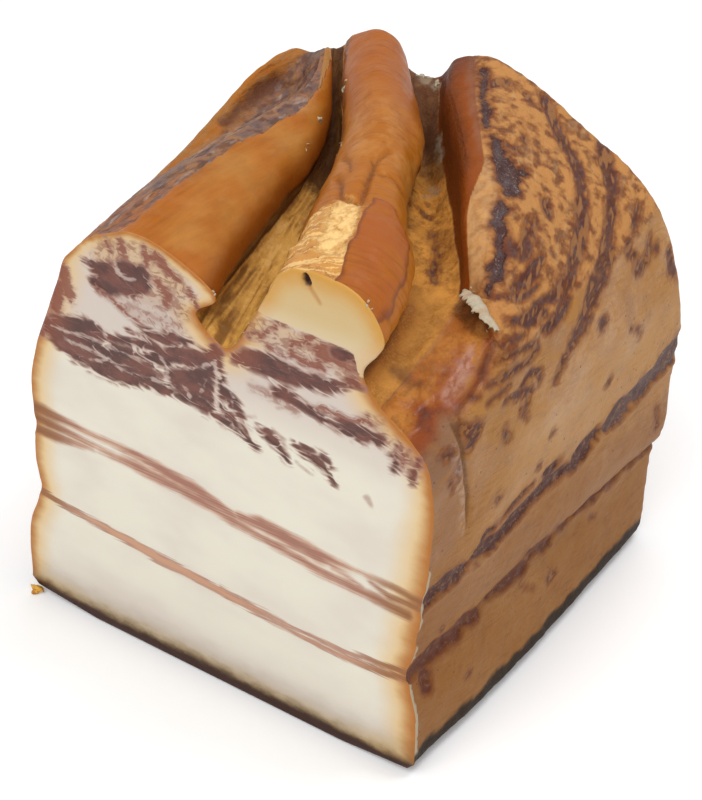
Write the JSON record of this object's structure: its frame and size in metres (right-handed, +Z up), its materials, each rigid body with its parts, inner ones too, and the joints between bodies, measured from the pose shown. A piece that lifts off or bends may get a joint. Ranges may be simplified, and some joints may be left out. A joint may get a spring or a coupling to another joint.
{
  "type": "mangalica bacon",
  "caption": "Thick block of smoked cured belly bacon with rind, marbled cut face and a cartilage ridge on top.",
  "frame": {"origin": "on the surface it rests on, in the middle of the block's depth and of its rind", "axes": "+Z up from the rind to the ribs, -Y out of the knife cut, +X towards the smoked right side"},
  "size_m": [0.1022, 0.0906, 0.1019],
  "materials": {
    "bacon": "satin, oily smoked skin over white fat"
  },
  "bodies": {
    "root": {"bacon": "bacon"}
  },
  "joints": []
}
